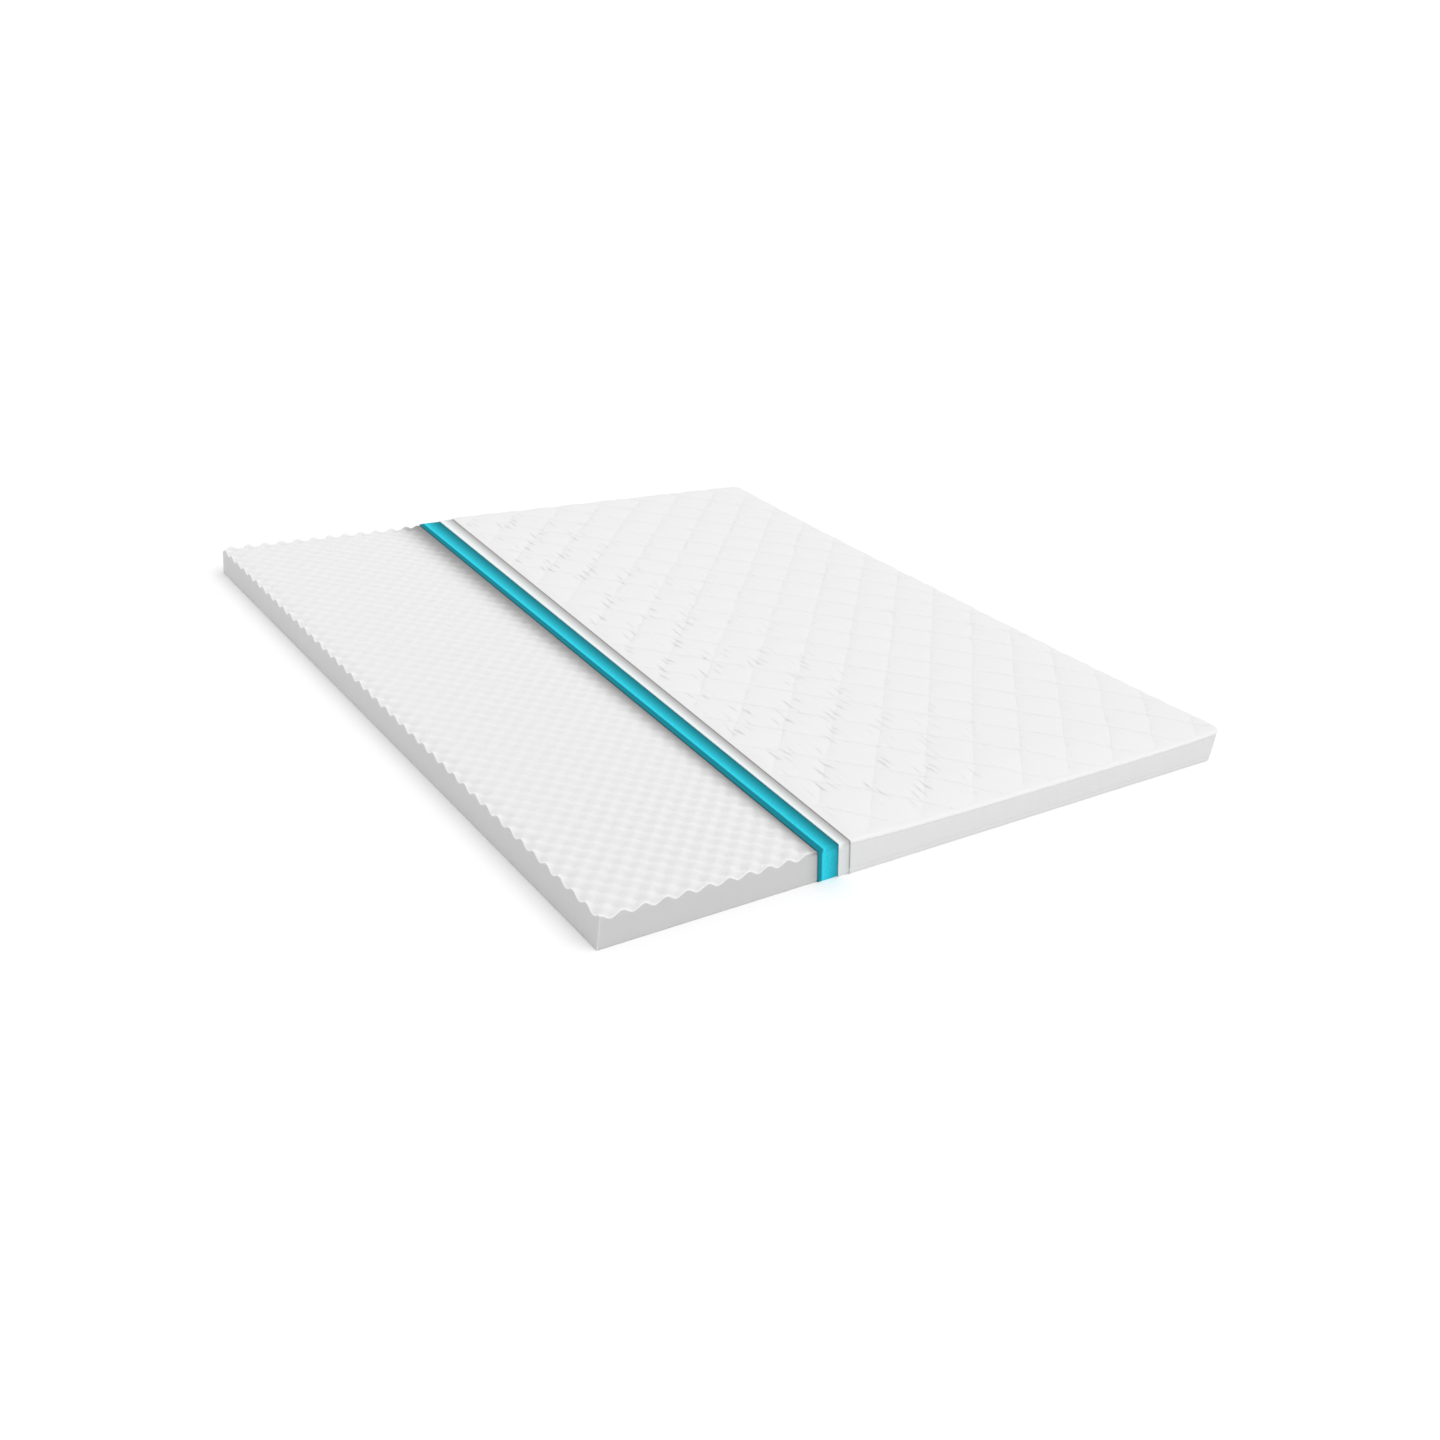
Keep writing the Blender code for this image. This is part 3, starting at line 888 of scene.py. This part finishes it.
class TOPPER_OT_sleeves(bpy.types.Operator):
    """Make the teal felt sleeve and the white non-woven sleeve"""

    bl_idname = "topper.sleeves"
    bl_label = "Sleeves"

    def execute(self, context):
        self.make_teal(context.scene.topper_sleeves)
        self.make_white(context.scene.topper_sleeves)
        return {"FINISHED"}

    def make_teal(self, sleeves):
        """Bag of felt, with close columns of points along its hem."""
        hem = sleeves.hem_width
        rows = plan_rows(spread(0.96, 16 * MM))
        columns = strips((edge("teal"), 2), (edge("teal", 0.35 * hem), 3),
                         (edge("teal", 0.85 * hem), 2), (edge("teal", 1.15 * hem), 9),
                         *under_spans("white", "cover"))

        def shape(points):
            """Bend the top down towards the cut by a cubic step over the hem, then settle."""
            x, y, z = points.T
            inward = x - cut_x("teal", y, z)
            top = np.clip((z - TEAL_TOP + 2 * MM) / (2 * MM), 0.0, 1.0)
            droop = sleeves.hem_droop * (1.0 - smooth(inward / hem)) * top
            return settle(np.stack((x, y, z - droop), axis=-1), ("white", "cover"))

        def painted_hem_shade(points):
            """Painted shade on the hem: one on the hem, with a cubic step to nought at its inner edge;
            narrower on the wall.
            """
            x, y, z = points.T
            width = np.where(z > 0.9 * TEAL_TOP, hem, 0.76 * hem)
            return 1.0 - smooth((x - cut_x("teal", y, z) - 0.85 * width) / (0.3 * width))

        def painted_shadow(points):
            """Painted shadow of the white sleeve across the strip: a fast start on the top, and a steady
            one on the wall.
            """
            t = across_strip(points, "teal", "white", hem)
            return np.where(points[:, 2] > 0.9 * TEAL_TOP,
                            0.95 * (1.0 - (1.0 - t) ** 1.5), 0.12 + 0.6 * t ** 1.2)

        profile = sleeve_profile(TEAL_INSET, TEAL_TOP)
        mesh = make_mesh("teal_sleeve_felt", body(rows, columns, profile, closed=False), shape,
                         {"hem": painted_hem_shade, "painted_shadow": painted_shadow})
        piece = add_piece(mesh, felt_material(), ["teal_sleeve"], sleeves.teal_thick)

    def make_white(self, sleeves):
        """Bag of non-woven cloth, bare in a narrow strip beside the cover."""
        rows = plan_rows(spread(0.96, 16 * MM))
        columns = strips((edge("white"), 2), (edge("white", 4 * MM), 6), *under_spans("cover"))

        def shape(points):
            """Settle onto the cover's bottom panel."""
            return settle(points, ("cover",))

        def painted_shadow(points):
            """Painted shadow of the cover: steady growth across the strip after a lit edge on the top,
            and slight on the wall.
            """
            t = across_strip(points, "white", "cover")
            lit = 0.15 + 0.08 * np.maximum(points[:, 1], 0.0)
            return np.where(points[:, 2] > 0.9 * WHITE_TOP,
                            np.clip((t - lit) / 0.75, 0.0, 1.0), 0.3 + 0.15 * t)

        profile = sleeve_profile(WHITE_INSET, WHITE_TOP)
        mesh = make_mesh("white_sleeve_non_woven", body(rows, columns, profile, closed=False), shape,
                         {"painted_shadow": painted_shadow})
        piece = add_piece(mesh, bonded_material(), ["white_sleeve"], sleeves.white_thick)


class TOPPER_OT_cover_top(bpy.types.Operator):
    """Make the quilted top panel with its rolled rim"""

    bl_idname = "topper.cover_top"
    bl_label = "Quilted Top Panel"

    def execute(self, context):
        cover = context.scene.topper_cover
        step = cover.diamond / 28
        rows = plan_rows(self.lattice(cover.quilt_y, step, HALF_LENGTH))
        lines = self.lattice(cover.quilt_x, step, HALF_WIDTH)

        def columns(y, right, z):
            """Close lines along the cut, the lattice of the stitches, close lines along the side."""
            left = cut_x("cover", y, z)
            first = left + np.array([0.0, 1.2, 3.0, 5.5]) * MM
            middle = np.clip(lines[None, :], left + 8 * MM, right - 9 * MM)
            last = right - np.array([6.0, 3.0, 0.0]) * MM
            return np.concatenate((first, middle, last), axis=1)

        profile = self.rim_profile(cover)
        top = patch(grid(rows, columns, cover.roll_width, cover.rim_level))
        rim = wall(rows, columns, profile)
        height, width = top["points"].shape[:2]
        keep = (every(40, height - 1), every(24, width - 1))
        under = patch(grid(rows, columns, *profile[-1]), flip=True, keep=keep)
        cut = patch(np.stack((top["points"][:, 0], under["points"][:, 0])))
        mesh = make_mesh("quilted_top", [top, rim, under, cut], self.shape,
                         {"gathered": self.gathered}, self.end_caps(top, rim))
        piece = add_piece(mesh, jersey_material("quilted jersey", cover.top_hex),
                          ["cover_top_panel"])
        return {"FINISHED"}

    @staticmethod
    def lattice(centre, step, half):
        """Lines of the grid that the stitches cross at its points."""
        count = int(2 * half / step) + 1
        lines = centre + np.arange(-count, count + 1) * step
        return lines[np.abs(lines) < half]

    @staticmethod
    def rim_profile(cover):
        """Section of the rolled rim: two quarter ellipses down to its foot, then back under."""
        turn = np.linspace(0.0, math.pi / 2, 7)
        waist = (cover.rim_level + cover.roll_foot) / 2
        wide = cover.roll_width + cover.roll_out
        over = [(cover.roll_width - wide * math.sin(a), waist + (cover.rim_level - waist) * math.cos(a))
                for a in turn]
        below = [(-cover.roll_out * math.cos(a), waist - (waist - cover.roll_foot) * math.sin(a))
                 for a in turn[2::2]]
        tucked = 2.0 * MM
        return over + below + [(tucked, cover.roll_foot), (tucked, cover.under)]

    @staticmethod
    def end_caps(top, rim):
        """Closed runs of points that fill the two ends of the cut: the rim's first and last ones."""
        start = top["points"][..., 0].size
        height, width = rim["points"].shape[:2]
        front = start + np.arange(height) * width
        return [front[::-1], front + width - 1]

    @staticmethod
    def gathered(points):
        """Where fine wrinkles show: in clusters beside the steep lines, most on the cut's side."""
        x, y, z = points.T
        cover = bpy.context.scene.topper_cover
        beside = np.exp(-(quilt(x, y)[1] / 0.80) ** 4) * smooth((noise(x, y, 0.10, 9) + 0.5) / 0.3)
        inner = smooth((x - cut_x("cover", y, z)) / (40 * MM)) * smooth(from_rim(x, y) / (90 * MM))
        far = 1.0 - 0.85 * smooth((x + 0.15) / 0.55)
        return beside * inner * far * (z > cover.under)

    @staticmethod
    def shape(points):
        """Lift the face to its quilted level, wave the rim, shift the lines sideways, and settle.

        The cut's upper edge is rounded by a square law over its first 3 mm.
        """
        x, y, z = points.T
        cover = bpy.context.scene.topper_cover
        face = np.clip((z - cover.under) / (cover.rim_level - cover.under), 0.0, 1.0)
        inward = x - cut_x("cover", y, z)
        rounded = 1.2 * MM * (1.0 - np.clip(inward / (3 * MM), 0.0, 1.0)) ** 2
        rise = (quilt_level(x, y) - cover.rim_level - rounded) * face
        waist = np.clip((z - cover.roll_foot) / (cover.rim_level - cover.roll_foot), 0.0, 1.0)
        near_rim = 1.0 - smooth(from_rim(x, y) / (40 * MM))
        wave = cover.rim_wave * noise(x + y, 0.0 * x, 18 * MM, 21) * near_rim * waist
        aside = stray(x, y)
        return settle(np.stack((x + aside[0], y + aside[1], z + rise + wave), axis=-1))


class TOPPER_OT_stitches(bpy.types.Operator):
    """Make the stitches of the quilting"""

    bl_idname = "topper.stitches"
    bl_label = "Quilting Stitches"

    def execute(self, context):
        cover = context.scene.topper_cover
        places, headings = self.lines(cover)
        x, y = places.T
        inward = x - cut_x("cover", y, cover.stitch_level)
        kept = (from_rim(x, y) > cover.roll_width + 6 * MM) & (inward > 8 * MM)
        points = self.strands(places[kept], headings[kept], cover)
        rings = np.arange(len(points) * 3).reshape(-1, 3)[:, :, None] * 4 + np.arange(4)
        ahead, beside = rings[:, :-1], np.roll(rings, -1, axis=2)
        sides = np.stack((ahead, beside[:, :-1], beside[:, 1:], rings[:, 1:]), axis=-1).reshape(-1, 4)
        faces = np.concatenate((sides, rings[:, 0, ::-1], rings[:, -1]))
        mesh = bpy.data.meshes.new("quilting_stitches")
        mesh.from_pydata(points.reshape(-1, 3), [], faces)
        mesh.shade_smooth()
        add_piece(mesh, thread_material())
        return {"FINISHED"}

    @staticmethod
    def lines(cover):
        """Middle and heading of every stitch, along both families of lines."""
        reach = 2 * HALF_LENGTH
        count = int(2 * reach / cover.diamond) + 1
        start = np.arange(-count, count + 1) * cover.diamond
        along = np.arange(-reach, reach, cover.pitch) / math.sqrt(2)
        places, headings = [], []
        for way in (1.0, -1.0):
            x = cover.quilt_x + start[:, None] + way * along[None, :]
            y = np.broadcast_to(cover.quilt_y + along[None, :], x.shape)
            spots = np.stack((x, y), axis=-1).reshape(-1, 2)
            places.append(spots)
            headings.append(np.broadcast_to(np.array([way, 1.0]) / math.sqrt(2), spots.shape))
        places, headings = np.concatenate(places), np.concatenate(headings)
        inside = (np.abs(places[:, 0]) < HALF_WIDTH) & (np.abs(places[:, 1]) < HALF_LENGTH)
        return places[inside], headings[inside]

    @staticmethod
    def strands(places, headings, cover):
        """Three square rings for each stitch: its ends dive into the cloth, its middle shows."""
        share = np.array([-0.32, 0.0, 0.32])[None, :, None] * cover.pitch
        middle = places[:, None, :] + headings[:, None, :] * share
        level = quilt_level(middle[..., 0], middle[..., 1]) + np.array([-0.2, 0.8, -0.2]) * cover.thread
        aside = np.stack(stray(middle[..., 0], middle[..., 1]), axis=-1)
        spine = np.concatenate((middle + aside, level[..., None]), axis=-1)
        radius = cover.thread / 2 * np.array([0.6, 1.0, 0.6])[None, :, None, None]
        level_turn = (-headings[:, 1], headings[:, 0], np.zeros(len(headings)))
        across = np.stack(level_turn, axis=-1)[:, None, None]
        upward = np.array([0.0, 0.0, 1.0])
        turn = np.arange(4)[None, None, :, None] * math.pi / 2
        points = spine[:, :, None, :] + radius * (np.cos(turn) * across + np.sin(turn) * upward)
        return settle(points.reshape(-1, 3)).reshape(-1, 3, 4, 3)


class TOPPER_OT_cover_sides(bpy.types.Operator):
    """Make the side band and the bottom panel of the cover"""

    bl_idname = "topper.cover_sides"
    bl_label = "Side Band and Bottom Panel"

    def execute(self, context):
        self.make_band(context.scene.topper_cover)
        self.make_bottom(context.scene.topper_cover)
        return {"FINISHED"}

    def make_band(self, cover):
        """Upright strip round the front, the right side and the back, open at both ends."""
        rows = plan_rows(spread(0.965, 6 * MM))
        columns = strips((edge("cover"), 1), (edge("cover", 3 * MM), 190))
        levels = [cover.roll_foot - 0.2 * MM, 0.072, 0.064, 0.055, 0.046, 0.037, 0.028, 0.020, 0.0145]
        levels += [cover.seam + offset for offset in (1.4 * MM, 0.5 * MM, 0.0, -0.5 * MM, -1.4 * MM)]
        levels += [0.007, 0.0045, BAND_FOOT + 0.7 * MM, BAND_FOOT]
        band = wall(rows, columns, [(0.0, z) for z in levels])

        def shape(points):
            """Stand out by two noises along the band, less a groove at the seam and an eased foot.

            A point moves along its ray from a corner's centre, or squarely out of a side.
            """
            x, y, z = points.T
            along = x + y + HALF_WIDTH + HALF_LENGTH
            body_share = smooth((z - cover.seam) / (8 * MM)) * smooth((cover.roll_foot - z) / (6 * MM))
            fold = 0.6 * noise(along, 0.35 * z, 40 * MM, 11) + 0.8 * noise(along, 0.2 * z, 15 * MM, 12)
            out = 0.5 * cover.crease * (fold + 1.0) * body_share
            out -= 0.7 * MM * np.exp(-((z - cover.seam) / (0.9 * MM)) ** 2)
            out -= 0.6 * MM * np.clip(1.0 - (z - BAND_FOOT) / (1.5 * MM), 0.0, 1.0)
            corner = bpy.context.scene.topper_layers.corner
            across = np.maximum(x - (HALF_WIDTH - corner), 0.0)
            length = np.sign(y) * np.maximum(np.abs(y) - (HALF_LENGTH - corner), 0.0)
            scale = out / np.maximum(np.hypot(across, length), MM)
            return settle(np.stack((x + across * scale, y + length * scale, z), axis=-1))

        mesh = make_mesh("side_band", [band], shape)
        piece = add_piece(mesh, jersey_material("plain jersey", cover.band_hex),
                          ["cover_side_band"], cover.band_thick)

    def make_bottom(self, cover):
        """Flat panel with bevelled edges."""
        rows = plan_rows(spread(0.9, 0.1))
        columns = strips((edge("cover"), 16))
        bevel = 0.5 * MM
        profile = [(bevel, BOTTOM_TOP), (0.0, BOTTOM_TOP - bevel), (0.0, bevel), (bevel, 0.0)]
        mesh = make_mesh("bottom_panel", body(rows, columns, profile, closed=True))
        piece = add_piece(mesh, jersey_material("backing cloth", cover.bottom_hex),
                          ["cover_bottom_panel"])


class TOPPER_OT_stage(bpy.types.Operator):
    """Make the floor, the lights and the camera"""

    bl_idname = "topper.stage"
    bl_label = "Stage"

    def execute(self, context):
        stage = context.scene.topper_stage
        self.make_floor(stage)
        self.make_light(context, stage)
        self.make_camera(context, stage)
        context.scene.view_settings.view_transform = "Standard"
        return {"FINISHED"}

    def make_floor(self, stage):
        """Matt white square, a hair below the topper."""
        half = stage.floor_size / 2
        mesh = bpy.data.meshes.new("floor")
        mesh.from_pydata([(-half, -half, 0), (half, -half, 0), (half, half, 0), (-half, half, 0)], [],
                         [(0, 1, 2, 3)])
        material = bpy.data.materials.new("matt floor")
        material.use_nodes = True
        shader = material.node_tree.nodes["Principled BSDF"]
        shader.inputs["Base Color"].default_value = linear(stage.floor_hex)
        shader.inputs["Roughness"].default_value = 1.0
        mesh.materials.append(material)
        floor = bpy.data.objects.new("floor", mesh)
        floor.location.z = -0.3 * MM
        bpy.context.scene.collection.objects.link(floor)
        floor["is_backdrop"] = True

    def make_light(self, context, stage):
        """White room whose strength falls with height from haze to sky, and a broad sun."""
        world = bpy.data.worlds.new("white room")
        world.use_nodes = True
        tree = world.node_tree
        background = tree.nodes["Background"]
        background.inputs["Color"].default_value = (1.0, 1.0, 1.0, 1.0)
        bearing = add_node(tree, "ShaderNodeTexCoord")
        height = add_node(tree, "ShaderNodeSeparateXYZ", {"Vector": bearing.outputs["Generated"]})
        strength = add_node(tree, "ShaderNodeMapRange",
                            {"Value": height.outputs["Z"], "From Min": 0.08, "From Max": 0.25,
                             "To Min": stage.haze, "To Max": stage.sky})
        tree.links.new(strength.outputs["Result"], background.inputs["Strength"])
        context.scene.world = world
        light = bpy.data.lights.new("key", "SUN")
        light.energy = stage.key
        light.angle = math.radians(stage.key_angle)
        key = bpy.data.objects.new("key", light)
        key.rotation_mode = "QUATERNION"
        key.rotation_quaternion = Vector(stage.key_from).to_track_quat("Z", "Y")
        context.scene.collection.objects.link(key)

    def make_camera(self, context, stage):
        """View along a bearing, tipped down by an elevation and rolled about itself."""
        angles = (stage.azimuth, stage.elevation, stage.roll)
        azimuth, elevation, roll = (math.radians(angle) for angle in angles)
        forward = Vector((-math.sin(azimuth) * math.cos(elevation),
                          math.cos(azimuth) * math.cos(elevation), -math.sin(elevation)))
        level = Vector((math.cos(azimuth), math.sin(azimuth), 0.0))
        upward = level.cross(forward)
        right = level * math.cos(roll) + upward * math.sin(roll)
        up = upward * math.cos(roll) - level * math.sin(roll)
        camera = bpy.data.cameras.new("camera")
        pixels = 1440
        camera.sensor_width = 36.0
        camera.lens = stage.focal / pixels * camera.sensor_width
        camera.shift_x = (pixels / 2 - stage.centre_x) / pixels
        camera.shift_y = (stage.centre_y - pixels / 2) / pixels
        camera.clip_end = 500.0
        stand = bpy.data.objects.new("camera", camera)
        turn = Matrix((right, up, -forward)).transposed().to_4x4()
        stand.matrix_world = Matrix.Translation(stage.place) @ turn
        context.scene.collection.objects.link(stand)
        context.scene.camera = stand


class TOPPER_PT_panel(bpy.types.Panel):
    """Buttons for every piece, in the order in which they are made"""

    bl_label = "Mattress Topper"
    bl_idname = "TOPPER_PT_panel"
    bl_space_type = "VIEW_3D"
    bl_region_type = "UI"
    bl_category = "Topper"

    def draw(self, context):
        for operator in OPERATORS:
            self.layout.operator(operator.bl_idname)
        for name, group in SETTINGS.items():
            box = self.layout.box()
            box.label(text=name)
            for setting in group.__annotations__:
                box.prop(getattr(context.scene, name), setting)


OPERATORS = (TOPPER_OT_foam, TOPPER_OT_sleeves, TOPPER_OT_cover_top, TOPPER_OT_stitches,
             TOPPER_OT_cover_sides, TOPPER_OT_stage)


def register():
    """Register the settings, the operators and the panel."""
    for group in SETTINGS.values():
        bpy.utils.register_class(group)
    for name, group in SETTINGS.items():
        setattr(bpy.types.Scene, name, PointerProperty(type=group))
    for operator in OPERATORS:
        bpy.utils.register_class(operator)
    bpy.utils.register_class(TOPPER_PT_panel)


def unregister():
    """Take everything off again, in the opposite order."""
    bpy.utils.unregister_class(TOPPER_PT_panel)
    for operator in reversed(OPERATORS):
        bpy.utils.unregister_class(operator)
    for name in SETTINGS:
        delattr(bpy.types.Scene, name)
    for group in SETTINGS.values():
        bpy.utils.unregister_class(group)


def main():
    """Make everything."""
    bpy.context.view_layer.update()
    register()
    for make in (bpy.ops.topper.foam, bpy.ops.topper.sleeves, bpy.ops.topper.cover_top,
                 bpy.ops.topper.stitches, bpy.ops.topper.cover_sides, bpy.ops.topper.stage):
        make()


if __name__ == "__main__":
    main()
